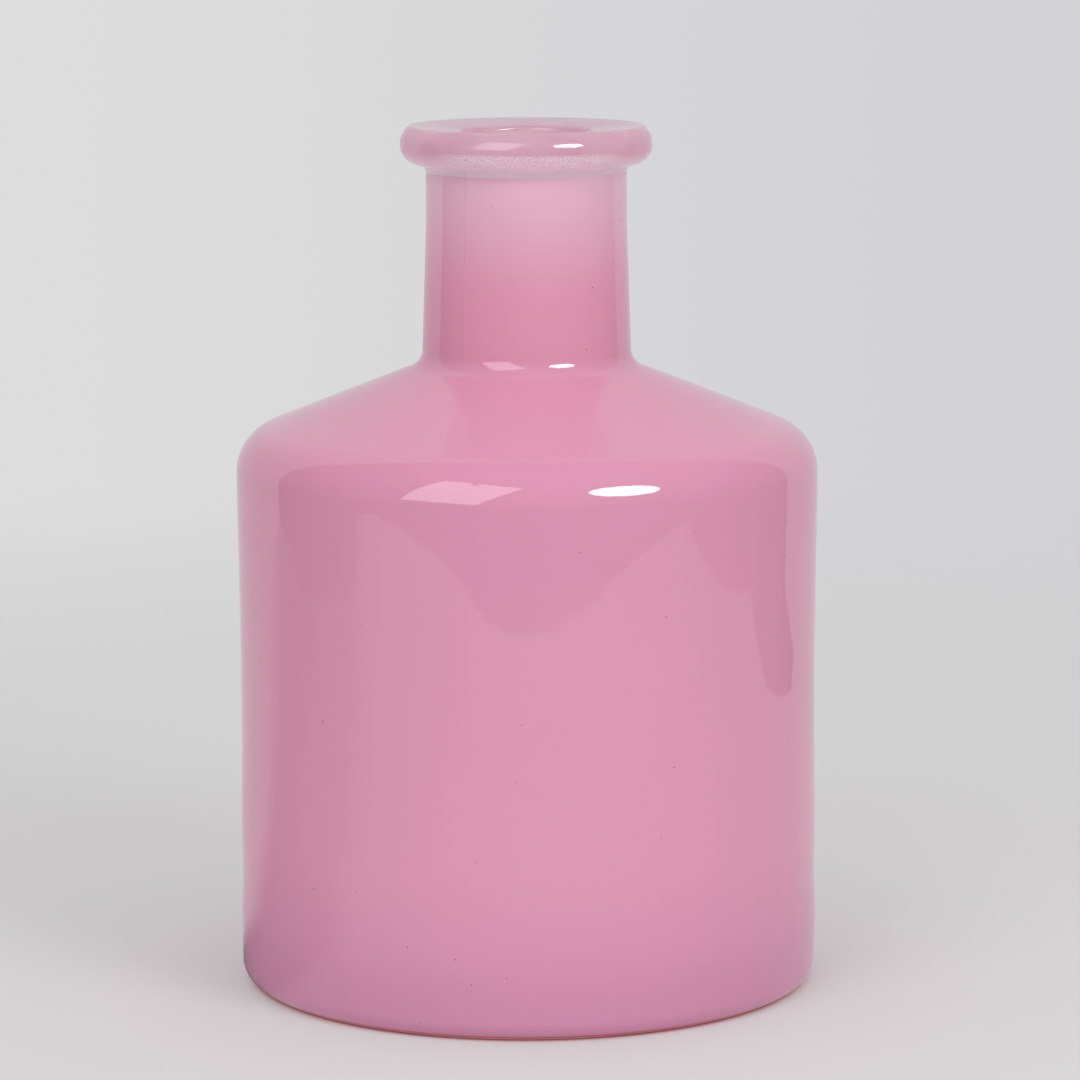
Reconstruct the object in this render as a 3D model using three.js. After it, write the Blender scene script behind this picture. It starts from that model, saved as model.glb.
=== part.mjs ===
// A bottle vase in pink glass: a straight round body, a sloping shoulder, a slim neck and a rolled lip.
// It is blown as one piece of glass, so it is one solid: a half-section turned round the Z axis.
// Millimetres, +Z up. The origin is the middle of the base, on the surface that the vase stands on.

import * as THREE from 'three';

// Body
const OVERALL_HEIGHT = 178.3;
const BODY_DIAMETER = 120.2;
const BODY_WALL = 3.2;

// Base: a rounded heel, a flat ring that the vase stands on, and a shallow push-up inside the ring
const HEEL_RADIUS = 4;
const BEARING_WIDTH = 6;
const PUSH_UP_HEIGHT = 3.5;
const BASE_THICKNESS = 5.5;
const INNER_HEEL_RADIUS = 6;

// Shoulder: SHOULDER_HEIGHT is where the line of the wall meets the line of the slope
const SHOULDER_HEIGHT = 114;
const SHOULDER_PITCH = 21.8;
const SHOULDER_RADIUS = 10;

// Neck: it narrows from its foot to a straight stretch under the lip
const NECK_FOOT_DIAMETER = 43.4;
const NECK_TOP_DIAMETER = 41.5;
const NECK_WALL = 4.2;
const NECK_FOOT_FILLET = 4.2;
const NECK_STRAIGHT = 11;
const NECK_BLEND_RADIUS = 90;

// Collar: the thin ring that the mould leaves where the neck meets the lip
const COLLAR_HEIGHT = 1.3;
const COLLAR_STEP = 0.55;

// Lip: a rolled bead with a bevel above it and a dished top
const LIP_DIAMETER = 52;
const LIP_HEIGHT = 8.1;
const LIP_UNDERSIDE_RISE = 0.45;
const LIP_LOWER_RADIUS = 4.1;
const LIP_BEVEL_DROP = 2.4;
const LIP_BEVEL_RADIUS = 4.1;
const TOP_EDGE_INSET = 1.7;
const TOP_EDGE_RADIUS = 0.6;

// Mouth: a straight bore through the lip that opens out into the neck
const MOUTH_DIAMETER = 26;
const DISH_DEPTH = 1.1;
const MOUTH_EDGE_RADIUS = 1;
const BORE_LENGTH = 8.5;
const THROAT_LENGTH = 7.5;
const THROAT_BLEND_RADIUS = 6;

// Fineness of the surface
const SIDES = 56;
const ARC_STEP = 22.5;
const CROWN_STEPS = 4;
const SHORTEST_EDGE = 0.05;

const GLASS = { name: 'pink glass', color: 0xd897b1, roughness: 0.06, metalness: 0 };

const point = (r, z) => new THREE.Vector2(r, z);
const corner = (r, z, radius = 0) => ({ at: point(r, z), radius });

// How far from a corner its fillet touches the two edges that meet there.
function tangentLength(corners, i) {
  if (i === 0 || i === corners.length - 1) return 0;
  return corners[i].radius * Math.tan(turn(corners, i) / 2);
}

// The angle through which the outline turns at a corner.
function turn(corners, i) {
  const before = corners[i].at.clone().sub(corners[i - 1].at).normalize();
  const after = corners[i + 1].at.clone().sub(corners[i].at).normalize();
  return Math.acos(THREE.MathUtils.clamp(before.dot(after), -1, 1));
}

// The points of the arc that rounds a corner, from a distance `reach` before it to `reach` after it.
// The circle's centre lies on the bisector of the two edges.
function arcPoints(corners, i, reach) {
  const { at } = corners[i];
  const toBefore = corners[i - 1].at.clone().sub(at).normalize();
  const toAfter = corners[i + 1].at.clone().sub(at).normalize();
  const angle = turn(corners, i);
  const radius = reach / Math.tan(angle / 2);
  const bisector = toBefore.clone().add(toAfter).normalize();
  const centre = at.clone().addScaledVector(bisector, radius / Math.cos(angle / 2));
  const start = at.clone().addScaledVector(toBefore, reach).sub(centre);
  const way = Math.sign(toAfter.cross(toBefore));
  const steps = Math.max(1, Math.round(THREE.MathUtils.radToDeg(angle) / ARC_STEP));
  const origin = point(0, 0);
  return Array.from({ length: steps + 1 }, (_, k) =>
    start.clone().rotateAround(origin, (way * angle * k) / steps).add(centre));
}

// An outline with its corners rounded. Two fillets that need more than the edge between them
// shrink together until the edge holds both.
function filleted(corners) {
  const reaches = corners.map((_, i) => tangentLength(corners, i));
  const room = (i) => {
    const length = corners[i].at.distanceTo(corners[i + 1].at);
    const wanted = reaches[i] + reaches[i + 1];
    return wanted > length ? length / wanted : 1;
  };
  const points = [];
  corners.forEach((c, i) => {
    const reach = reaches[i] > 0 ? reaches[i] * Math.min(room(i - 1), room(i)) : 0;
    points.push(...(reach > 0 ? arcPoints(corners, i, reach) : [c.at]));
  });
  return points.filter((p, i) => i === 0 || p.distanceTo(points[i - 1]) > SHORTEST_EDGE);
}

// A shallow domed disc from the axis out to `edgeRadius`, without its edge point: a circular arc
// that is `rise` higher on the axis than the edge is.
function crown(edgeRadius, edgeHeight, rise) {
  const radius = (edgeRadius ** 2 + rise ** 2) / (2 * rise);
  return Array.from({ length: CROWN_STEPS }, (_, k) => {
    const r = (edgeRadius * k) / CROWN_STEPS;
    return point(r, edgeHeight + rise - radius + Math.sqrt(radius ** 2 - r ** 2));
  });
}

// The half-section of the glass: out along the underside, up the outside, over the lip,
// down the inside and back to the axis along the floor.
function halfSection() {
  const pitch = THREE.MathUtils.degToRad(SHOULDER_PITCH);
  const bodyRadius = BODY_DIAMETER / 2;
  const innerRadius = bodyRadius - BODY_WALL;
  const ringRadius = bodyRadius - HEEL_RADIUS - BEARING_WIDTH;
  const slope = (r) => SHOULDER_HEIGHT + (bodyRadius - r) * Math.tan(pitch);
  const innerSlope = (r) => slope(r) - BODY_WALL / Math.cos(pitch);

  const footRadius = NECK_FOOT_DIAMETER / 2;
  const neckRadius = NECK_TOP_DIAMETER / 2;
  const collarTop = OVERALL_HEIGHT - LIP_HEIGHT;
  const collarBottom = collarTop - COLLAR_HEIGHT;
  const straightBottom = collarBottom - NECK_STRAIGHT;

  const lipRadius = LIP_DIAMETER / 2;
  const bevelBottom = OVERALL_HEIGHT - LIP_BEVEL_DROP;
  const mouthRadius = MOUTH_DIAMETER / 2;
  const mouthTop = OVERALL_HEIGHT - DISH_DEPTH;
  const boreBottom = mouthTop - BORE_LENGTH;
  const throatBottom = boreBottom - THROAT_LENGTH;

  const outside = [
    corner(ringRadius, 0),
    corner(bodyRadius, 0, HEEL_RADIUS),
    corner(bodyRadius, SHOULDER_HEIGHT, SHOULDER_RADIUS),
    corner(footRadius, slope(footRadius), NECK_FOOT_FILLET),
    corner(neckRadius, straightBottom, NECK_BLEND_RADIUS),
    corner(neckRadius, collarBottom),
    corner(neckRadius + COLLAR_STEP, collarTop),
    corner(lipRadius, collarTop + LIP_UNDERSIDE_RISE, LIP_LOWER_RADIUS),
    corner(lipRadius, bevelBottom, LIP_BEVEL_RADIUS),
    corner(lipRadius - TOP_EDGE_INSET, OVERALL_HEIGHT, TOP_EDGE_RADIUS),
  ];
  const inside = [
    corner(mouthRadius, mouthTop, MOUTH_EDGE_RADIUS),
    corner(mouthRadius, boreBottom, THROAT_BLEND_RADIUS),
    corner(neckRadius - NECK_WALL, throatBottom, THROAT_BLEND_RADIUS),
    corner(footRadius - NECK_WALL, innerSlope(footRadius - NECK_WALL), NECK_FOOT_FILLET + BODY_WALL),
    corner(innerRadius, innerSlope(innerRadius), SHOULDER_RADIUS - BODY_WALL),
    corner(innerRadius, BASE_THICKNESS, INNER_HEEL_RADIUS),
    corner(ringRadius, BASE_THICKNESS),
  ];
  return [
    ...crown(ringRadius, 0, PUSH_UP_HEIGHT),
    ...filleted([...outside, ...inside]),
    ...crown(ringRadius, BASE_THICKNESS, PUSH_UP_HEIGHT).reverse(),
  ];
}

function bottle() {
  const geometry = new THREE.LatheGeometry(halfSection(), SIDES);
  geometry.rotateX(Math.PI / 2);
  const mesh = new THREE.Mesh(geometry, new THREE.MeshStandardMaterial(GLASS));
  mesh.name = 'bottle';
  return mesh;
}

const vase = new THREE.Group();
vase.name = 'bottle_vase';
vase.add(bottle());

export default vase;
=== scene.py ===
"""A pink glass bottle vase: a round body, a sloping shoulder, a slim neck and a rolled lip.

Metres, Z up. The origin is the middle of the base, on the surface that the vase stands on. An
azimuth is measured round Z from the front, -Y, towards the right, +X.
"""

import logging
import math
from collections.abc import Mapping, Sequence
from dataclasses import dataclass
from enum import Enum
from typing import Any

import bpy
import numpy as np
from mathutils import Matrix, Vector
from numpy.typing import NDArray


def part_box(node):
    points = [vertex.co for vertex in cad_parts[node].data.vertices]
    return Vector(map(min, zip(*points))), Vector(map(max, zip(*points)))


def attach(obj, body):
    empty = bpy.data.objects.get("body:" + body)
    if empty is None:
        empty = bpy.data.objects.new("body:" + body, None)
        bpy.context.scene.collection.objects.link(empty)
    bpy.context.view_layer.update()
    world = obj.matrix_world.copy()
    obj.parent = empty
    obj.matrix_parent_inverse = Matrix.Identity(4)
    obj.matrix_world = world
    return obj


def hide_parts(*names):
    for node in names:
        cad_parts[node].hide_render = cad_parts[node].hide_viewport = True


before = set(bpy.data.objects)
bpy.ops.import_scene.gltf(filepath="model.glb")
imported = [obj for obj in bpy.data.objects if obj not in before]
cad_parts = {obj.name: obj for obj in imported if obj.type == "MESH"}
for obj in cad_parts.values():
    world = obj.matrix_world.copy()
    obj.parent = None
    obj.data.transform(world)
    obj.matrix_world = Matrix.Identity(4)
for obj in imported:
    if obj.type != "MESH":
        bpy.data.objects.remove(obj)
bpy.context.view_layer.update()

Array = NDArray[np.float64]
Colour = tuple[float, float, float]
Socket = bpy.types.NodeSocket

log = logging.getLogger("bottle_vase")

MM = 0.001
MICRON = 0.000001
SAME_POINT = 0.01 * MM
LEAST_LENGTH = 1e-12
LENGTH_SLACK = 1e-6
ROOT = "root"
NODE = "bottle"


# -------------------------------------------------------------------------------------------------
# Outlines and surfaces


@dataclass(frozen=True)
class Corner:
    """A corner of a half-section: its place, the radius that rounds it and the arc's step in
    degrees."""

    r: float
    z: float
    radius: float = 0.0
    arc_step: float = 6.0

    @property
    def at(self) -> Array:
        """The corner as a point (r, z)."""
        return np.array((self.r, self.z))


def unit(v: Array) -> Array:
    """v over its length, along the last axis."""
    return v / np.linalg.norm(v, axis=-1, keepdims=True)


def arc_at(before: Array, corner: Corner, after: Array, reach: float) -> Array:
    """The arc that rounds a corner.

    The circle touches both edges at a distance `reach` from the corner. Its centre lies on the
    bisector of the edges, and its radius is reach / tan(half the turn). The start point, seen from
    the centre, is turned through the whole turn in equal steps.

    Args:
        before: the corner before this one, as (r, z).
        corner: the corner to round.
        after: the corner after this one, as (r, z).
        reach: how far from the corner the arc touches the edges.

    Returns:
        The arc's points, as rows of (r, z).
    """
    to_before, to_after = unit(before - corner.at), unit(after - corner.at)
    turn = math.acos(float(np.clip(-to_before @ to_after, -1.0, 1.0)))
    radius = reach / math.tan(turn / 2)
    centre = corner.at + unit(to_before + to_after) * radius / math.cos(turn / 2)
    start = corner.at + to_before * reach - centre
    way = math.copysign(1.0, to_after[0] * to_before[1] - to_after[1] * to_before[0])
    steps = max(2, round(math.degrees(turn) / corner.arc_step))
    angle = way * np.linspace(0.0, turn, steps + 1)
    cos, sin = np.cos(angle), np.sin(angle)
    turned = np.stack((cos * start[0] - sin * start[1], sin * start[0] + cos * start[1]), axis=1)
    return centre + turned


def rounded(corners: Sequence[Corner]) -> Array:
    """An outline with its corners rounded.

    Args:
        corners: the corners in order. Two arcs that need more than the edge between them shrink
            together until the edge holds both.

    Returns:
        The outline's points, as rows of (r, z).
    """
    at = np.array([c.at for c in corners])
    way = unit(np.diff(at, axis=0))
    turn = np.zeros(len(corners))
    turn[1:-1] = np.arccos(np.clip((way[:-1] * way[1:]).sum(1), -1.0, 1.0))
    reach = np.array([c.radius for c in corners]) * np.tan(turn / 2)
    length = np.linalg.norm(np.diff(at, axis=0), axis=1)
    room = np.minimum(1.0, length / np.maximum(reach[:-1] + reach[1:], LEAST_LENGTH))
    parts = []
    for i, corner in enumerate(corners):
        if reach[i] > 0:
            held = reach[i] * min(room[i - 1], room[i])
            parts.append(arc_at(at[i - 1], corner, at[i + 1], held))
        else:
            parts.append(at[i : i + 1])
    points = np.concatenate(parts)
    apart = np.linalg.norm(np.diff(points, axis=0), axis=1) > SAME_POINT
    return points[np.concatenate(([True], apart))]


def crowned(edge: float, height: float, rise: float, rings: int) -> Array:
    """The outline of a shallow dome: a circular arc `rise` higher on the axis than at its edge.

    The circle through both has the radius (edge^2 + rise^2) / (2 rise).

    Args:
        edge: the radius of the dome's edge, whose own point is left out.
        height: the height of the edge.
        rise: how much higher the dome is on the axis.
        rings: the number of points.

    Returns:
        Points from the axis outwards, as rows of (r, z).
    """
    radius = (edge**2 + rise**2) / (2 * rise)
    r = edge * np.arange(rings) / rings
    return np.stack((r, height + rise - radius + np.sqrt(radius**2 - r**2)), axis=1)


def filled_in(points: Array, longest: Array) -> Array:
    """An outline whose straight runs are cut into equal pieces no longer than is asked for.

    Args:
        points: rows of (r, z).
        longest: the longest piece allowed on each run.

    Returns:
        The points and the ones between them. Each run gets ceil(length / longest) pieces.
    """
    run = np.diff(points, axis=0)
    pieces = np.ceil(np.linalg.norm(run, axis=1) / longest - LENGTH_SLACK)
    pieces = pieces.astype(int).clip(1)
    which = np.repeat(np.arange(len(run)), pieces)
    first = np.repeat(np.cumsum(pieces) - pieces, pieces)
    along = (np.arange(pieces.sum()) - first) / pieces[which]
    return np.concatenate((points[which] + along[:, None] * run[which], points[-1:]))


def outline_normals(points: Array) -> Array:
    """The outward unit normal of an outline at each point: its direction turned a right angle to
    the right, where the direction is the mean of those of the two runs that meet there."""
    way = unit(np.diff(points, axis=0))
    mean = unit(np.concatenate((way[:1], way[:-1] + way[1:], way[-1:])))
    return np.stack((mean[:, 1], -mean[:, 0]), axis=1)


@dataclass
class Shell:
    """A closed turned surface: a grid of rings, with a point on the axis at each end.

    Row i of the grid is a ring and column j is a meridian.
    """

    outline: Array
    azimuths: Array
    proud: Array

    def points(self) -> Array:
        """The grid, as an array rows x columns x 3.

        Each outline point moves out along its normal by `proud`. Then (r, z) at azimuth a is the
        point (r sin a, -r cos a, z).
        """
        normal = outline_normals(self.outline)
        r = self.outline[:, :1] + self.proud * normal[:, :1]
        z = self.outline[:, 1:] + self.proud * normal[:, 1:]
        a = self.azimuths[None, :]
        return np.stack((r * np.sin(a), -r * np.cos(a), z + 0 * a), axis=2)

    def faces(self) -> tuple[Array, list[tuple[int, ...]]]:
        """The faces between the rings, and a fan of triangles round each end of the axis.

        Returns:
            The row that each face starts at, and the faces as vertex numbers. Vertex 0 is the first
            end, the last vertex is the other end, and the rings lie between them in order.
        """
        rings, columns = len(self.outline) - 2, len(self.azimuths)
        number = 1 + np.arange(rings * columns).reshape(rings, columns)
        on = np.roll(number, -1, axis=1)
        quads = np.stack((number[:-1], on[:-1], on[1:], number[1:]), axis=2).reshape(-1, 4)
        pole = np.zeros(columns, int)
        first = np.stack((pole, on[0], number[0]), axis=1)
        last = np.stack((number[-1], on[-1], pole + rings * columns + 1), axis=1)
        rows = np.concatenate((pole, 1 + np.repeat(np.arange(rings - 1), columns), pole + rings))
        return rows, [tuple(face) for part in (first, quads, last) for face in part.tolist()]

    def mesh(self, name: str) -> tuple[bpy.types.Mesh, Array]:
        """The surface as a mesh, smooth shaded, and the row that each face starts at."""
        grid = self.points()
        inner = grid[1:-1].reshape(-1, 3)
        vertices = np.concatenate((grid[0, :1] * (0, 0, 1), inner, grid[-1, :1] * (0, 0, 1)))
        rows, faces = self.faces()
        mesh = bpy.data.meshes.new(name)
        mesh.from_pydata(vertices.tolist(), [], faces)
        mesh.polygons.foreach_set("use_smooth", np.ones(len(faces), bool))
        mesh.update()
        return mesh, rows


def bell(x: Array, centre: float, width: float) -> Array:
    """A Gaussian bump, 1 at the centre and 1/e at a distance `width` from it."""
    return np.exp(-(((x - centre) / width) ** 2))


def smooth_step(x: Array, low: float, high: float) -> Array:
    """0 below `low`, 1 above `high`, and the curve t^2 (3 - 2 t) between them."""
    t = np.clip((x - low) / (high - low), 0.0, 1.0)
    return t * t * (3 - 2 * t)


def from_azimuth(azimuths: Array, azimuth: float) -> Array:
    """The signed angle from one azimuth to others, between -pi and pi."""
    return (azimuths - azimuth + math.pi) % (2 * math.pi) - math.pi


# -------------------------------------------------------------------------------------------------
# Shader nodes


@dataclass
class Graph:
    """A node tree that is being filled."""

    tree: bpy.types.NodeTree

    def add(
        self, kind: str, inputs: Mapping[str | int, Any] | None = None, **settings: Any
    ) -> bpy.types.Node:
        """Adds a node.

        Args:
            kind: the node's type, without its leading "ShaderNode".
            inputs: values or sockets for its inputs, by name or number.
            settings: the node's own properties.

        Returns:
            The node.
        """
        node = self.tree.nodes.new("ShaderNode" + kind)
        for name, value in settings.items():
            setattr(node, name, value)
        for name, value in (inputs or {}).items():
            self.put(node.inputs[name], value)
        return node

    def put(self, socket: Socket, value: Any) -> None:
        """Links a socket to an input, or sets the input's own value."""
        if isinstance(value, Socket):
            self.tree.links.new(value, socket)
        elif socket.type == "RGBA" and len(value) == 3:
            socket.default_value = (*value, 1.0)
        else:
            socket.default_value = value

    def math(self, operation: str, *values: Any) -> Socket:
        """The result of a Math node."""
        node = self.add("Math", dict(enumerate(values)), operation=operation)
        return node.outputs[0]

    def mix(self, factor: Any, a: Any, b: Any, blend: str = "MIX") -> Socket:
        """Two colours mixed."""
        node = self.add("Mix", {0: factor, 6: a, 7: b}, data_type="RGBA", blend_type=blend)
        return node.outputs[2]

    def span(
        self, value: Any, low: Any, high: Any, to_low: float = 0.0, to_high: float = 1.0
    ) -> Socket:
        """A value carried from one range to another, smoothly and held at the ends."""
        inputs = {"Value": value, 1: low, 2: high, 3: to_low, 4: to_high}
        return self.add("MapRange", inputs, interpolation_type="SMOOTHSTEP").outputs[0]

    def place(self) -> Socket:
        """The place on the object, in metres."""
        return self.add("TexCoord").outputs["Object"]

    def xyz(self, vector: Socket) -> tuple[Socket, Socket, Socket]:
        """A vector's three numbers."""
        node = self.add("SeparateXYZ", {0: vector})
        return node.outputs[0], node.outputs[1], node.outputs[2]

    def noise(self, vector: Socket, scale: Any, detail: float) -> Socket:
        """Noise between 0 and 1."""
        return self.add("TexNoise", {"Vector": vector, "Scale": scale, "Detail": detail}).outputs[0]

    def bump(self, height: Socket, depth: float) -> Socket:
        """The normals of a surface that a height of 1 raises by `depth`."""
        return self.add("Bump", {"Strength": 1.0, "Distance": depth, "Height": height}).outputs[0]

    def group(self, tree: bpy.types.NodeTree, inputs: Mapping[str, Any]) -> bpy.types.Node:
        """Places a node group with its own values."""
        node = self.add("Group", node_tree=tree)
        for name, value in inputs.items():
            self.put(node.inputs[name], value)
        return node


class SocketKind(Enum):
    """What a node group's socket carries."""

    NUMBER = "NodeSocketFloat"
    COLOUR = "NodeSocketColor"


def open_group(
    name: str, inputs: Mapping[str, tuple[SocketKind, Any]], outputs: Mapping[str, SocketKind]
) -> tuple[Graph, bpy.types.Node, bpy.types.Node]:
    """Makes a node group and its sockets.

    Args:
        name: the group's name.
        inputs: each input's kind and default value.
        outputs: each output's kind.

    Returns:
        The group's graph, its input node and its output node.
    """
    tree = bpy.data.node_groups.new(name, "ShaderNodeTree")
    for label, (kind, value) in inputs.items():
        socket = tree.interface.new_socket(label, in_out="INPUT", socket_type=kind.value)
        socket.default_value = value
    for label, kind in outputs.items():
        tree.interface.new_socket(label, in_out="OUTPUT", socket_type=kind.value)
    return Graph(tree), tree.nodes.new("NodeGroupInput"), tree.nodes.new("NodeGroupOutput")


@dataclass(frozen=True)
class Effects:
    """The node groups that the finishes share."""

    shade: bpy.types.NodeTree
    ripple: bpy.types.NodeTree
    dust: bpy.types.NodeTree


# The heights over which one pink of the glass passes into the next.
# The lowest span ends the deep rose of painted contact shade where the base meets the table.
CONTACT_SHADE_SPAN = (0.7 * MM, 1.3 * MM)
# Over this span the deeper pink of the heel, painted shade near the floor, passes into the body's
# pink.
BODY_SPAN = (0.0, 35.0 * MM)
NECK_FOOT_SPAN = (122.0 * MM, 136.0 * MM)
# Painted light: the neck turns paler towards its top, where light comes through the lip.
LIT_NECK_TOP_SPAN = (142.0 * MM, 174.0 * MM)

# The scale of the mottle, and how the ripples are drawn out along the three axes.
MOTTLE_SCALE = 38.0
FINE_SQUEEZE = (1.0, 1.0, 2.2)
LONG_STRETCH = (1.0, 1.0, 0.45)


def shade_group() -> bpy.types.NodeTree:
    """The pink of the glass by height, with painted shade and light in it: a deep rose where the
    base meets the table, which is painted contact shade, a deeper pink at the heel, which is
    painted shade near the floor, the body's pink above it, a deeper pink round the neck's foot, and
    a paler one towards the lip, which is painted light coming through the lip, with a faint mottle."""
    number, colour = SocketKind.NUMBER, SocketKind.COLOUR
    graph, given, out = open_group(
        "pink_by_height",
        {
            "Contact shade": (colour, (0.4, 0.05, 0.1, 1)),
            "Shaded heel": (colour, (0.8, 0.3, 0.4, 1)),
            "Body": (colour, (0.9, 0.37, 0.55, 1)),
            "Neck foot": (colour, (0.85, 0.3, 0.5, 1)),
            "Lit neck top": (colour, (0.9, 0.5, 0.6, 1)),
            "Mottle": (number, 0.03),
        },
        {"Colour": colour},
    )
    place = graph.place()
    height = graph.xyz(place)[2]
    pink = given.outputs["Contact shade"]
    for name, span in (
        ("Shaded heel", CONTACT_SHADE_SPAN),
        ("Body", BODY_SPAN),
        ("Neck foot", NECK_FOOT_SPAN),
        ("Lit neck top", LIT_NECK_TOP_SPAN),
    ):
        pink = graph.mix(graph.span(height, *span), pink, given.outputs[name])
    cloud = graph.noise(place, MOTTLE_SCALE, 3.0)
    centred = graph.math("SUBTRACT", cloud, 0.5)
    swing = graph.math("MULTIPLY_ADD", centred, given.outputs["Mottle"], 1.0)
    scaled = graph.add("VectorMath", {0: pink, "Scale": swing}, operation="SCALE")
    graph.put(out.inputs["Colour"], scaled.outputs[0])
    return graph.tree


def ripple_group() -> bpy.types.NodeTree:
    """The unevenness of a moulded glass skin: fine ripples that are wider than they are tall, and
    longer waves that are stretched along the height."""
    number = SocketKind.NUMBER
    graph, given, out = open_group(
        "glass_ripple",
        {"Fine": (number, 200.0), "Long": (number, 60.0), "Long share": (number, 3.0)},
        {"Height": number},
    )
    place = graph.place()
    stretch = graph.add("Mapping", {"Vector": place, "Scale": LONG_STRETCH}).outputs[0]
    squeeze = graph.add("Mapping", {"Vector": place, "Scale": FINE_SQUEEZE}).outputs[0]
    fine = graph.noise(squeeze, given.outputs["Fine"], 0.0)
    long = graph.noise(stretch, given.outputs["Long"], 1.0)
    total = graph.math("MULTIPLY_ADD", long, given.outputs["Long share"], fine)
    graph.put(out.inputs["Height"], total)
    return graph.tree


def dust_group() -> bpy.types.NodeTree:
    """Specks of dust: round dots at the middles of scattered cells, of which only some hold one."""
    number = SocketKind.NUMBER
    graph, given, out = open_group(
        "dust_specks",
        {"Cells": (number, 130.0), "Radius": (number, 0.02), "Share": (number, 0.5)},
        {"Mask": number},
    )
    cells = graph.add("TexVoronoi", {"Vector": graph.place(), "Scale": given.outputs["Cells"]})
    near = graph.math("LESS_THAN", cells.outputs["Distance"], given.outputs["Radius"])
    chosen = graph.math("LESS_THAN", graph.xyz(cells.outputs["Color"])[0], given.outputs["Share"])
    graph.put(out.inputs["Mask"], graph.math("MULTIPLY", near, chosen))
    return graph.tree


def make_effects() -> Effects:
    """Builds the shared node groups once."""
    return Effects(shade_group(), ripple_group(), dust_group())


# -------------------------------------------------------------------------------------------------
# Finishes of the vase


GLASS_IOR = 1.5


class Skin(Enum):
    """The surfaces of the vase, in the order of its material slots."""

    BODY = 0
    LIP = 1
    INSIDE = 2


@dataclass(frozen=True)
class Pinks:
    """The pinks of the glass from the base to the lip, linear, with painted contact shade at the
    base, painted shade at the heel and painted light at the neck's top.
    """

    # A deep rose painted as contact shade where the base meets the table.
    contact_shade: Colour = (0.62, 0.03, 0.085)
    # Deeper than the body: painted shade near the floor.
    heel: Colour = (0.67, 0.275, 0.44)
    body: Colour = (0.812, 0.345, 0.506)
    neck_foot: Colour = (0.85, 0.368, 0.527)
    # Paler: painted light coming through the lip onto the neck's top.
    neck_top: Colour = (0.94, 0.60, 0.72)
    mottle: float = 0.035

    def inputs(self) -> dict[str, Any]:
        """The values for the shade group."""
        return {
            "Contact shade": self.contact_shade,
            "Shaded heel": self.heel,
            "Body": self.body,
            "Neck foot": self.neck_foot,
            "Lit neck top": self.neck_top,
            "Mottle": self.mottle,
        }


@dataclass(frozen=True)
class Ripple:
    """The ripples of a skin: the scales of the two noises, the share of the long one, and the
    depth."""

    fine: float
    long: float
    long_share: float
    depth: float

    def height(self, graph: Graph, tree: bpy.types.NodeTree) -> Socket:
        """Places the ripple group and gives its height."""
        inputs = {"Fine": self.fine, "Long": self.long, "Long share": self.long_share}
        return graph.group(tree, inputs).outputs["Height"]


@dataclass(frozen=True)
class Dust:
    """The specks of dust on a skin: the scale of their cells, their size, their share and
    colour."""

    cells: float
    radius: float
    share: float
    colour: Colour

    def over(self, graph: Graph, tree: bpy.types.NodeTree, colour: Socket) -> Socket:
        """Places the dust group and puts its specks on a colour."""
        inputs = {"Cells": self.cells, "Radius": self.radius, "Share": self.share}
        return graph.mix(graph.group(tree, inputs).outputs["Mask"], colour, self.colour)


def principled(name: str, roughness: float) -> tuple[bpy.types.Material, Graph, bpy.types.Node]:
    """A material of one Principled shader.

    Args:
        name: the material's name.
        roughness: the shader's roughness.

    Returns:
        The material, its graph and its shader.
    """
    material = bpy.data.materials.new(name)
    material.use_nodes = True
    shader = material.node_tree.nodes["Principled BSDF"]
    shader.inputs["Roughness"].default_value = roughness
    return material, Graph(material.node_tree), shader


def pink_glass(
    name: str, roughness: float, effects: Effects, pinks: Pinks, dust: Dust, ripple: Ripple
) -> bpy.types.Material:
    """Opaque pink glass, shaded by height, dusty and rippled.

    Args:
        name: the material's name.
        roughness: the shader's roughness.
        effects: the shared node groups.
        pinks: the pinks from the base to the lip.
        dust: the specks on it.
        ripple: its unevenness.

    Returns:
        The material.
    """
    material, graph, shader = principled(name, roughness)
    shader.inputs["IOR"].default_value = GLASS_IOR
    pink = graph.group(effects.shade, pinks.inputs()).outputs["Colour"]
    graph.put(shader.inputs["Base Color"], dust.over(graph, effects.dust, pink))
    height = ripple.height(graph, effects.ripple)
    graph.put(shader.inputs["Normal"], graph.bump(height, ripple.depth))
    return material


@dataclass(frozen=True)
class PinkGlassFinish:
    """Opaque pink glass with a glossy skin, a little uneven, with a few specks of dust on it."""

    effects: Effects
    pinks: Pinks
    roughness: float = 0.022
    dust: Dust = Dust(230.0, 0.030, 0.8, (0.12, 0.05, 0.07))
    ripple: Ripple = Ripple(420.0, 55.0, 11.0, 1.7 * MICRON)

    def material(self) -> bpy.types.Material:
        """Builds the material."""
        return pink_glass(
            "pink_skin", self.roughness, self.effects, self.pinks, self.dust, self.ripple
        )


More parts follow.
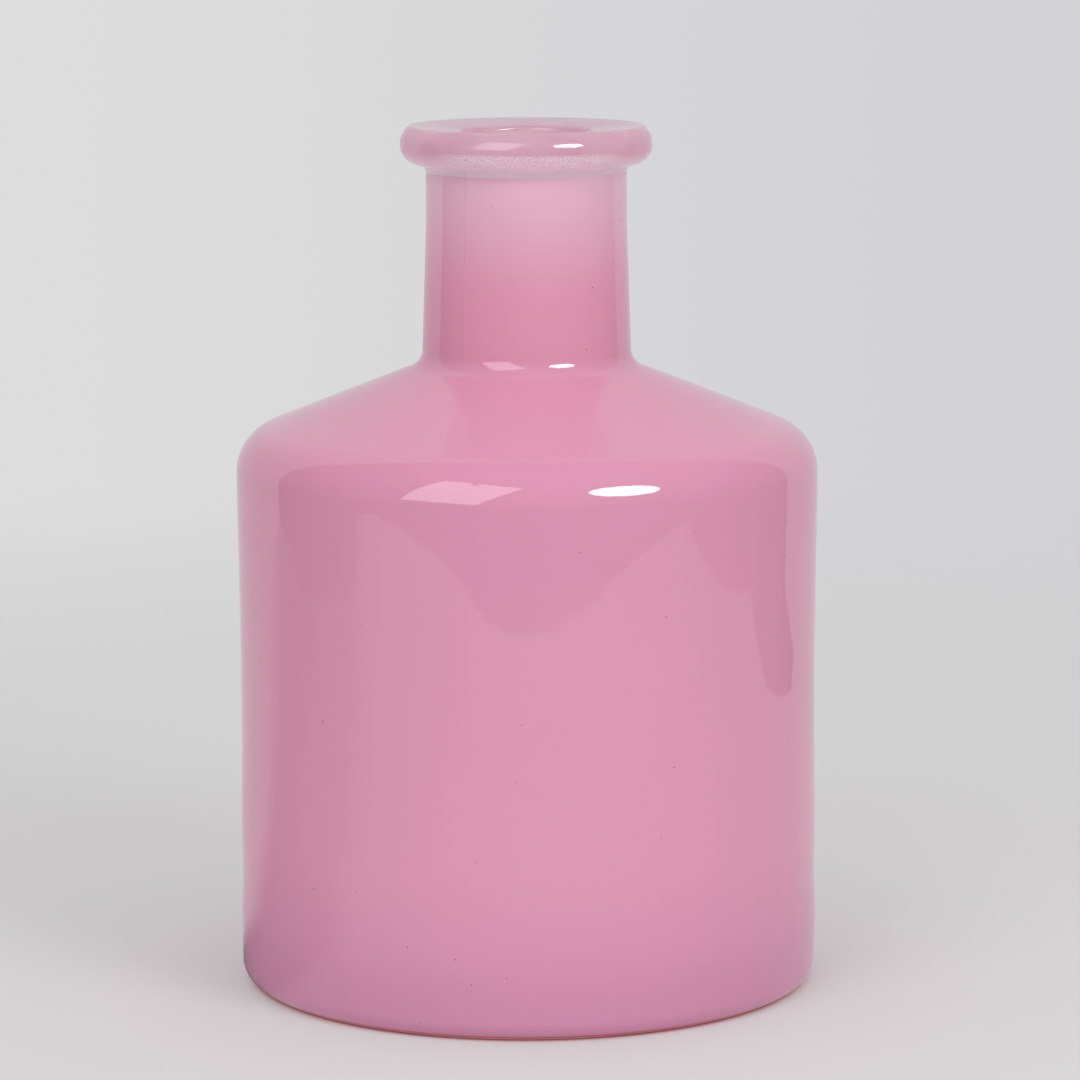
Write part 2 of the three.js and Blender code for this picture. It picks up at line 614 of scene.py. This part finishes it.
@dataclass(frozen=True)
class LipGlassFinish:
    """Milky glass of the rolled lip, which light spreads through: pink on top, and paler towards
    the collar under it, where the paler pink is painted light that undoes the shade under the bead,
    with a patch of fine seeds in front, where it was rolled over."""

    effects: Effects
    collar_top: float = 170.2 * MM
    collar_fade: float = 0.6 * MM
    seeds_high: float = 173.2 * MM
    seeds_fade: float = 0.9 * MM
    seeds_reach: tuple[float, float] = (math.radians(28.0), math.radians(54.0))
    seeds_pale: float = 0.25
    seeds_bump: float = 5.0
    grain: float = 3000.0
    seed_span: tuple[float, float] = (0.42, 0.60)
    pit_span: tuple[float, float] = (0.28, 0.36)
    cloud: float = 90.0
    cloud_span: tuple[float, float] = (0.3, 0.7)
    painted_light_under_span: tuple[float, float] = (170.6 * MM, 174.0 * MM)
    bead: Colour = (0.61, 0.31, 0.405)
    pale: Colour = (0.65, 0.355, 0.445)
    # Paler than the bead: painted light under the bead.
    under: Colour = (0.84, 0.50, 0.59)
    # Paler still: painted light over the collar, where the bead's shade falls.
    collar: Colour = (0.96, 0.62, 0.70)
    seed: Colour = (0.86, 0.60, 0.66)
    pit: Colour = (0.62, 0.34, 0.41)
    roughness: float = 0.04
    spread: float = 40.0 * MM
    spread_by_colour: Colour = (1.0, 0.8, 0.9)
    ripple: Ripple = Ripple(420.0, 90.0, 3.0, 4.0 * MICRON)

    def seeded_band(self, graph: Graph, place: Socket, above: Socket) -> Socket:
        """Where the seeds are: a band over the collar that fades out to both sides of the front.

        Args:
            graph: the material's graph.
            place: the place on the object.
            above: 1 over the collar and 0 below it.

        Returns:
            The mask.
        """
        right, back, height = graph.xyz(place)
        azimuth = graph.math("ARCTAN2", right, graph.math("MULTIPLY", back, -1.0))
        in_front = graph.span(graph.math("ABSOLUTE", azimuth), *self.seeds_reach, 1.0, 0.0)
        high = self.seeds_high + self.seeds_fade
        below = graph.span(height, self.seeds_high, high, 1.0, 0.0)
        return graph.math("MULTIPLY", graph.math("MULTIPLY", above, below), in_front)

    def material(self) -> bpy.types.Material:
        """Builds the material."""
        material, graph, shader = principled("lip_glass", self.roughness)
        shader.inputs["IOR"].default_value = GLASS_IOR
        shader.inputs["Subsurface Weight"].default_value = 1.0
        shader.inputs["Subsurface Radius"].default_value = self.spread_by_colour
        shader.inputs["Subsurface Scale"].default_value = self.spread
        place = graph.place()
        height = graph.xyz(place)[2]
        above = graph.span(height, self.collar_top, self.collar_top + self.collar_fade)
        band = self.seeded_band(graph, place, above)
        grain = graph.noise(place, self.grain, 1.0)
        seeds = graph.math("MULTIPLY", graph.span(grain, *self.seed_span), band)
        pits = graph.math("MULTIPLY", graph.span(grain, *self.pit_span, 1.0, 0.0), band)
        cloud = graph.span(graph.noise(place, self.cloud, 2.0), *self.cloud_span)
        pink = graph.mix(cloud, self.bead, self.pale)
        # Painted light: paler under the bead.
        pink = graph.mix(graph.span(height, *self.painted_light_under_span), self.under, pink)
        pink = graph.mix(graph.math("MULTIPLY", band, self.seeds_pale), pink, self.seed)
        # Painted light: paler over the collar.
        pink = graph.mix(above, self.collar, pink)
        pink = graph.mix(seeds, pink, self.seed)
        graph.put(shader.inputs["Base Color"], graph.mix(pits, pink, self.pit))
        rippled = self.ripple.height(graph, self.effects.ripple)
        height = graph.math("MULTIPLY_ADD", seeds, self.seeds_bump, rippled)
        graph.put(shader.inputs["Normal"], graph.bump(height, self.ripple.depth))
        return material


@dataclass(frozen=True)
class InsideFinish:
    """The inside of the glass: the same pink with a softer gloss."""

    effects: Effects
    pinks: Pinks
    roughness: float = 0.28
    # The specks inside take the deep rose of the painted contact shade as their colour.
    dust: Dust = Dust(210.0, 0.030, 0.4, Pinks.contact_shade)
    ripple: Ripple = Ripple(300.0, 40.0, 4.0, 12.0 * MICRON)

    def material(self) -> bpy.types.Material:
        """Builds the material."""
        return pink_glass(
            "inside_glass", self.roughness, self.effects, self.pinks, self.dust, self.ripple
        )


# -------------------------------------------------------------------------------------------------
# The vase


@dataclass(frozen=True)
class Swelling:
    """A height where the wall runs a little wide of a true cylinder, or inside it."""

    z: float
    width: float
    proud: float


@dataclass(frozen=True)
class Wave:
    """A slow waviness round the wall: whole turns, height, and a phase that drifts upwards."""

    turns: int
    proud: float
    drift: float
    phase: float


@dataclass(frozen=True)
class Seam:
    """The ridges that the mould leaves, at two azimuths."""

    azimuths: tuple[float, float] = (math.radians(-36.0), math.radians(144.0))
    proud: float = 0.04 * MM
    width: float = 0.16 * MM
    share_on_body: float = 0.25
    grows_over: tuple[float, float] = (128.0 * MM, 136.0 * MM)
    ends_over: tuple[float, float] = (169.6 * MM, 170.2 * MM)
    meridians: tuple[float, ...] = (-1.5, -0.9, -0.55, -0.28, 0.0, 0.28, 0.55, 0.9, 1.5)


@dataclass(frozen=True)
class Blister:
    """A small ring where a bubble broke the skin."""

    z: float = 111.0 * MM
    azimuth: float = math.radians(-10.0)
    ring: float = 0.95 * MM
    width: float = 0.28 * MM
    proud: float = 0.035 * MM
    squash: float = 1.35
    reach: float = math.radians(1.5)


@dataclass(frozen=True)
class Tear:
    """A small drop of glass that ran down from the collar."""

    z: float = 168.4 * MM
    azimuth: float = math.radians(-34.5)
    width: float = 0.45 * MM
    height: float = 1.1 * MM
    proud: float = 0.22 * MM
    reach: float = math.radians(2.4)


@dataclass
class BottleVase:
    """The vase: one shell of glass, turned round Z. Its radius and height come from the CAD box."""

    radius: float
    height: float
    wall: float = 3.2 * MM
    heel_radius: float = 4.0 * MM
    bearing: float = 6.0 * MM
    push_up: float = 3.5 * MM
    base: float = 5.5 * MM
    inner_heel: float = 6.0 * MM
    shoulder_z: float = 114.0 * MM
    pitch: float = math.radians(21.8)
    shoulder_radius: float = 10.0 * MM
    neck_foot: float = 21.7 * MM
    neck_top: float = 20.75 * MM
    neck_wall: float = 4.2 * MM
    foot_fillet: float = 4.2 * MM
    neck_blend: float = 90.0 * MM
    neck_straight: float = 11.0 * MM
    collar: float = 1.3 * MM
    collar_step: float = 0.55 * MM
    lip: float = 26.0 * MM
    lip_height: float = 8.1 * MM
    lip_rise: float = 0.45 * MM
    lip_roll: float = 4.1 * MM
    bevel_drop: float = 2.4 * MM
    bevel_radius: float = 4.1 * MM
    top_inset: float = 1.7 * MM
    top_edge: float = 0.6 * MM
    mouth: float = 13.0 * MM
    dish: float = 1.1 * MM
    mouth_edge: float = 1.0 * MM
    bore: float = 8.5 * MM
    throat: float = 7.5 * MM
    throat_blend: float = 6.0 * MM
    edge_break: float = 0.3 * MM
    ring_edge: float = 1.2 * MM
    rounding_loss: float = 0.025 * MM
    lip_glass_depth: float = 1.2 * MM
    columns: int = 216
    crown_rings: int = 12
    spot_columns: int = 13
    closest_columns: float = math.radians(0.12)
    neck_low: float = 130.0 * MM
    run_on_neck: float = 1.3 * MM
    run_on_body: float = 2.1 * MM
    run_inside: float = 5.0 * MM
    true_below: tuple[float, float] = (1.0 * MM, 8.0 * MM)
    swellings_end: tuple[float, float] = (106.0 * MM, 116.0 * MM)
    swellings: tuple[Swelling, ...] = (
        Swelling(104 * MM, 12 * MM, 0.20 * MM),
        Swelling(62 * MM, 22 * MM, -0.18 * MM),
        Swelling(34 * MM, 9 * MM, 0.10 * MM),
        Swelling(22 * MM, 6 * MM, -0.10 * MM),
        Swelling(14 * MM, 6 * MM, 0.30 * MM),
    )
    waves: tuple[Wave, ...] = (
        Wave(2, 0.030 * MM, 9.0, 0.7),
        Wave(3, 0.020 * MM, -14.0, 2.1),
        Wave(5, 0.009 * MM, 31.0, 4.0),
        Wave(9, 0.003 * MM, -47.0, 1.3),
    )
    seam: Seam = Seam()
    blister: Blister = Blister()
    tear: Tear = Tear()

    @property
    def ring(self) -> float:
        """The radius of the push-up's edge, where the flat ring begins."""
        return self.radius - self.heel_radius - self.bearing

    def outside(self) -> list[Corner]:
        """The corners of the outside, from the edge of the push-up to the top of the lip."""
        top = self.height + self.rounding_loss
        foot_z = self.shoulder_z + (self.radius - self.neck_foot) * math.tan(self.pitch)
        collar_top = top - self.lip_height
        collar_low = collar_top - self.collar
        return [
            Corner(self.ring, 0.0, self.ring_edge, 15.0),
            Corner(self.radius, 0.0, self.heel_radius, 5.0),
            Corner(self.radius, self.shoulder_z, self.shoulder_radius, 1.6),
            Corner(self.neck_foot, foot_z, self.foot_fillet, 3.5),
            Corner(self.neck_top, collar_low - self.neck_straight, self.neck_blend, 0.5),
            Corner(self.neck_top, collar_low, self.edge_break, 8.0),
            Corner(self.neck_top + self.collar_step, collar_top, self.edge_break, 12.0),
            Corner(self.lip, collar_top + self.lip_rise, self.lip_roll, 5.0),
            Corner(self.lip, top - self.bevel_drop, self.bevel_radius, 4.0),
            Corner(self.lip - self.top_inset, top, self.top_edge, 10.0),
        ]

    def inside(self) -> list[Corner]:
        """The corners of the inside, from the mouth to the edge of the floor's crown."""
        mouth_z = self.height + self.rounding_loss - self.dish
        bore_z = mouth_z - self.bore
        inner = self.radius - self.wall
        neck_in = self.neck_top - self.neck_wall
        foot_in = self.neck_foot - self.neck_wall
        drop = self.wall / math.cos(self.pitch)
        rise = math.tan(self.pitch)
        foot_z = self.shoulder_z + (self.radius - foot_in) * rise - drop
        shoulder_z = self.shoulder_z + self.wall * rise - drop
        return [
            Corner(self.mouth, mouth_z, self.mouth_edge, 9.0),
            Corner(self.mouth, bore_z, self.throat_blend, 8.0),
            Corner(neck_in, bore_z - self.throat, self.throat_blend, 8.0),
            Corner(foot_in, foot_z, self.foot_fillet + self.wall, 8.0),
            Corner(inner, shoulder_z, self.shoulder_radius - self.wall, 8.0),
            Corner(inner, self.base, self.inner_heel, 10.0),
            Corner(self.ring, self.base, self.ring_edge, 15.0),
        ]

    def half_section(self) -> Array:
        """The whole half-section, from the axis under the base to the axis on the floor."""
        outline = rounded([*self.outside(), *self.inside()])
        under = crowned(self.ring, 0.0, self.push_up, self.crown_rings)
        floor = crowned(self.ring, self.base, self.push_up, self.crown_rings)[::-1]
        points = np.concatenate((under, outline, floor))
        top = int(points[:, 1].argmax())
        middle = (points[1:, 1] + points[:-1, 1]) / 2
        is_outside = np.arange(len(middle)) < top
        fine = np.where(middle > self.neck_low, self.run_on_neck, self.run_on_body)
        return filled_in(points, np.where(is_outside, fine, self.run_inside))

    def azimuths(self) -> Array:
        """The meridians: evenly spaced, with closer ones at the seams, the blister and the tear."""
        even = np.linspace(-math.pi, math.pi, self.columns, endpoint=False)
        at_seams = np.array(self.seam.azimuths)[:, None] + np.radians(np.array(self.seam.meridians))
        at_spots = [
            spot.azimuth + np.linspace(-spot.reach, spot.reach, self.spot_columns)
            for spot in (self.blister, self.tear)
        ]
        every = np.sort(np.concatenate((even, at_seams.ravel(), *at_spots)))
        apart = np.diff(every, append=every[0] + 2 * math.pi) > self.closest_columns
        return every[apart]

    def proud(self, outline: Array, azimuths: Array) -> Array:
        """How far the outside stands proud of a true turned shape.

        The sum of the swellings (Gaussian in height), a slow waviness (cosines of a few whole
        numbers of turns, whose phase drifts with height), a ridge at each seam (Gaussian in the
        arc length from it), a blister (a Gaussian ring round its middle) and a tear of glass by
        the collar (Gaussian in height and arc length).

        Args:
            outline: the half-section, as rows of (r, z).
            azimuths: the meridians.

        Returns:
            The distance along the outline's normal, rows x columns.
        """
        top = int(outline[:, 1].argmax())
        r, z = outline[:, :1], outline[:, 1:]
        a = azimuths[None, :]
        is_outside = (np.arange(len(outline)) < top)[:, None]
        total = 0.0 * (z + a)
        for swelling in self.swellings:
            total = total + swelling.proud * bell(z, swelling.z, swelling.width)
        total = total * (1.0 - smooth_step(z, *self.swellings_end))
        for wave in self.waves:
            turned = np.cos(wave.turns * a + wave.drift * z + wave.phase)
            total = total + wave.proud * turned * r / self.radius
        total = total + self.seam_ridges(azimuths, r, z)
        across = from_azimuth(azimuths, self.blister.azimuth)[None, :] * r
        away = np.hypot(across, (z - self.blister.z) * self.blister.squash)
        total = total + self.blister.proud * bell(away, self.blister.ring, self.blister.width)
        across = from_azimuth(azimuths, self.tear.azimuth)[None, :] * r
        drop = bell(across, 0.0, self.tear.width) * bell(z, self.tear.z, self.tear.height)
        total = total + self.tear.proud * drop
        is_wall = is_outside * smooth_step(z, *self.true_below)
        return total * is_wall

    def seam_ridges(self, azimuths: Array, r: Array, z: Array) -> Array:
        """The height of the seams: a Gaussian in the arc length from each, fainter below the neck
        and gone at the lip.

        Args:
            azimuths: the meridians.
            r: the outline's radii, as a column.
            z: the outline's heights, as a column.

        Returns:
            The height, rows x columns.
        """
        seam = self.seam
        share = seam.share_on_body + (1.0 - seam.share_on_body) * smooth_step(z, *seam.grows_over)
        below_lip = 1.0 - smooth_step(z, *seam.ends_over)
        arcs = [from_azimuth(azimuths, azimuth)[None, :] * r for azimuth in seam.azimuths]
        ridges = sum(bell(arc, 0.0, seam.width) for arc in arcs)
        return seam.proud * ridges * share * below_lip

    def skin_of(self, outline: Array, rows: Array) -> Array:
        """The material slot of each face, from the row that it starts at."""
        top = int(outline[:, 1].argmax())
        z = (outline[rows, 1] + outline[rows + 1, 1]) / 2
        collar_low = self.height - self.lip_height - self.collar
        bore_low = self.height - self.dish - self.lip_glass_depth
        outside = np.where(z < collar_low, Skin.BODY.value, Skin.LIP.value)
        inside = np.where(z < bore_low, Skin.INSIDE.value, Skin.LIP.value)
        return np.where(rows < top, outside, inside)

    def build(self, finishes: Mapping[Skin, bpy.types.Material]) -> bpy.types.Object:
        """Makes the vase and dresses it.

        Args:
            finishes: a material for each of its surfaces.

        Returns:
            The piece, riding on the root in place of the CAD glass.
        """
        outline, azimuths = self.half_section(), self.azimuths()
        shell = Shell(outline, azimuths, self.proud(outline, azimuths))
        mesh, rows = shell.mesh("bottle_glass")
        for skin in Skin:
            mesh.materials.append(finishes[skin])
        mesh.polygons.foreach_set("material_index", self.skin_of(outline, rows).astype(np.int32))
        piece = bpy.data.objects.new("bottle_glass", mesh)
        bpy.context.scene.collection.objects.link(piece)
        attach(piece, ROOT)
        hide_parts(NODE)
        return piece


# -------------------------------------------------------------------------------------------------
# The studio


class Seen(Enum):
    """Which rays meet a surface of the studio: all but mirror reflections, only those, or all but
    the camera's."""

    BY_CAMERA = "by camera"
    IN_REFLECTIONS = "in reflections"
    AS_LIGHT = "as light"


def shaded(colour: Colour, shade: float) -> Colour:
    """A colour times a number."""
    red, green, blue = colour
    return shade * red, shade * green, shade * blue


def matt(name: str, sheen: float) -> tuple[bpy.types.Material, Graph, bpy.types.Node]:
    """A matt material that glows faintly.

    Args:
        name: the material's name.
        sheen: how strongly it glows.

    Returns:
        The material, its graph and its shader.
    """
    material, graph, shader = principled(name, 1.0)
    shader.inputs["Specular IOR Level"].default_value = 0.0
    shader.inputs["Emission Strength"].default_value = sheen
    return material, graph, shader


def heading(azimuth: float, elevation: float) -> Vector:
    """The unit vector towards an azimuth and an elevation, in degrees."""
    a, e = math.radians(azimuth), math.radians(elevation)
    return Vector((math.sin(a) * math.cos(e), -math.cos(a) * math.cos(e), math.sin(e)))


# The outline of the white sheet that the vase mirrors, and the foot of the wall behind it, in mm.
SHEET_OUTLINE = (
    (-715, -400), (-516, -466), (-297, -480), (0, -482), (139, -484), (309, -444), (484, -391),
    (640, -338), (516, -205), (513, -110), (518, 37), (448, 52), (379, 82), (338, 142), (314, 193),
    (344, 242), (-620, 225), (-545, 78), (-513, 52), (-511, -98), (-484, -195), (-573, -230),
    (-715, -300),
)
WALL_FOOT = ((-620, 225), (460, 242))

# The corners of the panel, each as an azimuth and an elevation in degrees.
PANEL_CORNERS = ((-49.5, 10.0), (-43.0, 53.0), (-1.0, 42.0), (-19.0, 5.3))

WHITE = (1.0, 1.0, 1.0)


@dataclass(frozen=True)
class Studio:
    """A pale floor, a soft lamp at the front right, a panel at the front left, and the air round
    them, with a sheet and a wall that only mirrors show. Directions are azimuth and elevation in
    degrees."""

    eye: tuple[float, float, float] = (2.62 * MM, -990.8 * MM, 247.2 * MM)
    lens: float = 160.56
    sensor: float = 36.0
    tilt: float = 8.905
    roll: float = -0.16
    middle_z: float = 100 * MM
    floor_z: float = -0.05 * MM
    floor_inner: float = 56.5 * MM
    floor_outer: float = 0.8
    floor_rings: int = 24
    floor_spokes: int = 96
    floor_fade: tuple[float, float] = (0.22, 0.75)
    smudge: float = 7.0
    smudge_span: tuple[float, float] = (0.35, 0.75)
    smudge_shade: float = 0.98
    floor_colour: Colour = (0.64, 0.635, 0.635)
    floor_sheen: float = 0.15
    # Painted pink bounce light from the vase, dark in the contact shade at its foot.
    painted_bounce: Colour = (0.60, 0.17, 0.23)
    painted_bounce_span: tuple[float, float] = (56.6 * MM, 58.8 * MM)
    sheet_colour: Colour = (0.48, 0.476, 0.476)
    sheet_sheen: float = 0.29
    sheet_shade: float = 0.32
    shade_turn: float = math.radians(2.0)
    shade_span: tuple[float, float] = (math.radians(14.0), math.radians(32.0))
    lamp_way: tuple[float, float] = (41.0, 29.0)
    lamp_radiance: float = 6.4
    lamp_mirrored: float = 19.0
    lamp_size: tuple[float, float] = (0.67, 0.49)
    lamp_distance: float = 1.4
    lamp_points: int = 48
    panel_way: tuple[float, float] = (-28.5, 28.9)
    panel_radiance: float = 2.0
    panel_mirrored: float = 3.5
    panel_distance: float = 1.5
    ambient: float = 0.25
    ambient_front: float = 0.07
    ambient_top: float = 0.557
    room_left: float = 0.02
    room_right: float = 0.18
    room_span: tuple[float, float] = (-0.5, 0.3)
    wall_radiance: float = 0.66
    wall_height: float = 0.9
    air_left: Colour = (0.72, 0.72, 0.72)
    air_right: Colour = (0.645, 0.64, 0.66)
    air_span: tuple[float, float] = (-0.12, 0.12)

    @property
    def middle(self) -> Vector:
        """The point on the axis that the lamp and the panel face."""
        return Vector((0.0, 0.0, self.middle_z))

    def stage_piece(
        self, name: str, vertices: Any, faces: Any, material: bpy.types.Material, seen: Seen
    ) -> bpy.types.Object:
        """Adds a surface that isn't part of the vase.

        Args:
            name: the surface's name.
            vertices: its points.
            faces: its faces, as vertex numbers.
            material: its material.
            seen: which rays meet it.

        Returns:
            The object.
        """
        mesh = bpy.data.meshes.new(name)
        mesh.from_pydata(vertices, [], faces)
        mesh.materials.append(material)
        piece = bpy.data.objects.new(name, mesh)
        bpy.context.scene.collection.objects.link(piece)
        piece.visible_camera = seen is Seen.BY_CAMERA
        piece.visible_transmission = seen is not Seen.IN_REFLECTIONS
        piece.visible_diffuse = seen is not Seen.IN_REFLECTIONS
        piece.visible_glossy = seen is not Seen.BY_CAMERA
        piece.visible_shadow = seen is Seen.BY_CAMERA
        return piece

    def paper(self) -> bpy.types.Material:
        """The pale floor: round the foot of the vase it has painted pink bounce light from the
        vase, dark in the contact shade, and it fades out far from it, and from below it isn't
        there."""
        material, graph, shader = matt("pale_floor", self.floor_sheen)
        place = graph.place()
        flat = graph.add("VectorMath", {0: place}, operation="LENGTH").outputs["Value"]
        near = graph.span(flat, *self.floor_fade, 1.0, 0.0)
        front = graph.math("SUBTRACT", 1.0, graph.add("NewGeometry").outputs["Backfacing"])
        graph.put(shader.inputs["Alpha"], graph.math("MULTIPLY", near, front))
        smudge = graph.span(graph.noise(place, self.smudge, 3.0), *self.smudge_span)
        paper = graph.mix(smudge, self.floor_colour, shaded(self.floor_colour, self.smudge_shade))
        # Painted pink bounce light and contact shade round the foot of the vase, in the colour and
        # in the glow.
        away = graph.span(flat, *self.painted_bounce_span)
        graph.put(shader.inputs["Base Color"], graph.mix(away, self.painted_bounce, paper))
        graph.put(shader.inputs["Emission Color"], graph.mix(away, self.painted_bounce, WHITE))
        return material

    def floor(self) -> bpy.types.Object:
        """The floor: rings of four-sided faces round the foot of the vase, which covers the hole.

        The point on ring r at angle a is (r cos a, r sin a, floor_z), and the rings grow outwards
        in a geometric series.
        """
        radii = np.geomspace(self.floor_inner, self.floor_outer, self.floor_rings)[:, None]
        a = np.linspace(0.0, 2 * math.pi, self.floor_spokes, endpoint=False)
        level = self.floor_z + 0 * radii * a
        grid = np.stack((radii * np.cos(a), radii * np.sin(a), level), axis=2).reshape(-1, 3)
        number = np.arange(radii.size * a.size).reshape(radii.size, a.size)
        on = np.roll(number, -1, axis=1)
        faces = np.stack((number[:-1], number[1:], on[1:], on[:-1]), axis=2).reshape(-1, 4)
        return self.stage_piece(
            "floor", grid.tolist(), faces.tolist(), self.paper(), Seen.BY_CAMERA
        )

    def sheet(self) -> bpy.types.Object:
        """The white sheet that the vase mirrors.

        A wedge of it to the left of the vase is in shade. It is centred `shade_turn` off the line
        straight to the left, and it ends over `shade_span`, measured from its middle.
        """
        material, graph, shader = matt("sheet_in_reflections", self.sheet_sheen)
        across, along, _ = graph.xyz(graph.place())
        angle = graph.math("ARCTAN2", along, graph.math("MULTIPLY", across, -1.0))
        aside = graph.math("ABSOLUTE", graph.math("ADD", angle, self.shade_turn))
        shade = graph.span(aside, *self.shade_span, 1.0, 0.0)
        for name, colour in (("Base Color", self.sheet_colour), ("Emission Color", WHITE)):
            dim = shaded(colour, self.sheet_shade)
            graph.put(shader.inputs[name], graph.mix(shade, colour, dim))
        points = [(x * MM, y * MM, 0.0) for x, y in SHEET_OUTLINE]
        faces = [tuple(range(len(points)))]
        return self.stage_piece("sheet", points, faces, material, Seen.IN_REFLECTIONS)

    def glow(self, name: str, radiance: float, mirrored: float) -> bpy.types.Material:
        """A plain white glow.

        Args:
            name: the material's name.
            radiance: how brightly it lights matt surfaces.
            mirrored: how bright it looks in a mirror.

        Returns:
            The material.
        """
        material = bpy.data.materials.new(name)
        material.use_nodes = True
        nodes = material.node_tree.nodes
        nodes.remove(nodes["Principled BSDF"])
        graph = Graph(material.node_tree)
        is_mirrored = graph.add("LightPath").outputs["Is Glossy Ray"]
        strength = graph.add("MapRange", {"Value": is_mirrored, 3: radiance, 4: mirrored})
        emission = graph.add("Emission", {"Strength": strength.outputs[0]})
        graph.put(nodes["Material Output"].inputs["Surface"], emission.outputs[0])
        return material

    def back_wall(self) -> bpy.types.Object:
        """The pale wall behind the vase, which its edges mirror."""
        points = [(x * MM, y * MM, z) for z in (0.0, self.wall_height) for x, y in WALL_FOOT]
        material = self.glow("wall_in_reflections", 0.0, self.wall_radiance)
        material.cycles.emission_sampling = "NONE"
        faces = [(0, 1, 3, 2)]
        return self.stage_piece("back_wall", points, faces, material, Seen.IN_REFLECTIONS)

    def panel(self) -> bpy.types.Object:
        """The white panel at the front left: a leaning four-sided sheet that glows.

        It lies in the plane square to its direction, so a corner in the direction w is as far as
        the panel's distance over the cosine of the angle between them.
        """
        facing = heading(*self.panel_way)
        ways = [heading(*corner) for corner in PANEL_CORNERS]
        points = [tuple(self.middle + w * (self.panel_distance / w.dot(facing))) for w in ways]
        glow = self.glow("panel_glow", self.panel_radiance, self.panel_mirrored)
        return self.stage_piece("panel", points, [(0, 1, 2, 3)], glow, Seen.AS_LIGHT)

    def lamp(self) -> bpy.types.Object:
        """The soft lamp at the front right: a glowing ellipse that faces the vase, with the points
        middle + cos(a) half its width across + sin(a) half its height up."""
        way = heading(*self.lamp_way)
        across = Vector((0.0, 0.0, 1.0)).cross(way).normalized()
        up = way.cross(across)
        a = np.linspace(0.0, 2 * math.pi, self.lamp_points, endpoint=False)[:, None]
        wide, tall = self.lamp_size
        ring = np.cos(a) * np.array(across) * wide / 2 + np.sin(a) * np.array(up) * tall / 2
        points = (np.array(self.middle + way * self.lamp_distance) + ring).tolist()
        glow = self.glow("lamp_glow", self.lamp_radiance, self.lamp_mirrored)
        return self.stage_piece("lamp", points, [tuple(range(len(points)))], glow, Seen.AS_LIGHT)

    def air(self) -> bpy.types.World:
        """The surroundings: pale where they are looked at, dark in mirrors, and an even light with
        a little more from the front and from above on matt surfaces."""
        world = bpy.data.worlds.new("studio_air")
        world.use_nodes = True
        graph = Graph(world.node_tree)
        nodes = world.node_tree.nodes
        nodes.clear()
        across, along, up = graph.xyz(graph.add("TexCoord").outputs["Generated"])
        pale = graph.mix(graph.span(across, *self.air_span), self.air_left, self.air_right)
        path = graph.add("LightPath").outputs
        looked_at = graph.math("MAXIMUM", path["Is Camera Ray"], path["Is Transmission Ray"])
        front = graph.math("MAXIMUM", graph.math("MULTIPLY", along, -1.0), 0.0)
        even = graph.math("MULTIPLY_ADD", front, self.ambient_front, self.ambient)
        even = graph.math("MULTIPLY_ADD", graph.math("MAXIMUM", up, 0.0), self.ambient_top, even)
        dark = graph.span(across, *self.room_span, self.room_left, self.room_right)
        lit = graph.mix(path["Is Glossy Ray"], even, dark)
        background = graph.add("Background", {"Color": graph.mix(looked_at, lit, pale)})
        output = graph.add("OutputWorld")
        graph.put(output.inputs["Surface"], background.outputs[0])
        world.cycles.sampling_method = "NONE"
        bpy.context.scene.world = world
        return world

    def camera(self) -> bpy.types.Object:
        """The camera, in front of the vase and a little above it."""
        data = bpy.data.cameras.new("camera")
        data.lens, data.sensor_width = self.lens, self.sensor
        data.clip_start, data.clip_end = 0.01, 50.0
        camera = bpy.data.objects.new("camera", data)
        lean = Matrix.Rotation(math.radians(90.0 - self.tilt), 4, "X")
        roll = Matrix.Rotation(math.radians(self.roll), 4, "Z")
        camera.matrix_world = Matrix.Translation(self.eye) @ lean @ roll
        bpy.context.scene.collection.objects.link(camera)
        bpy.context.scene.camera = camera
        return camera

    def build(self) -> list[bpy.types.Object]:
        """Sets the studio up.

        Returns:
            The surfaces in it.
        """
        self.camera()
        self.air()
        scene = bpy.context.scene
        scene.view_settings.view_transform = "Standard"
        scene.view_settings.look = "None"
        return [self.lamp(), self.panel(), self.sheet(), self.back_wall(), self.floor()]


# -------------------------------------------------------------------------------------------------
# Making it all


def report(piece: bpy.types.Object) -> None:
    """Logs a piece's name, its number of triangles and its size."""
    mesh = piece.data
    mesh.calc_loop_triangles()
    size = " x ".join(f"{x / MM:.2f}" for x in piece.dimensions)
    log.info("%s: %d triangles, %s mm", piece.name, len(mesh.loop_triangles), size)


def main() -> None:
    """Builds the studio and the vase, and reports them."""
    logging.basicConfig(level=logging.INFO, format="%(name)s: %(message)s")
    for surface in Studio().build():
        report(surface)
    low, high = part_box(NODE)
    effects, pinks = make_effects(), Pinks()
    finishes = {
        Skin.BODY: PinkGlassFinish(effects, pinks).material(),
        Skin.LIP: LipGlassFinish(effects).material(),
        Skin.INSIDE: InsideFinish(effects, pinks).material(),
    }
    vase = BottleVase(radius=(high.x - low.x) / 2, height=high.z)
    report(vase.build(finishes))


if __name__ == "__main__":
    main()
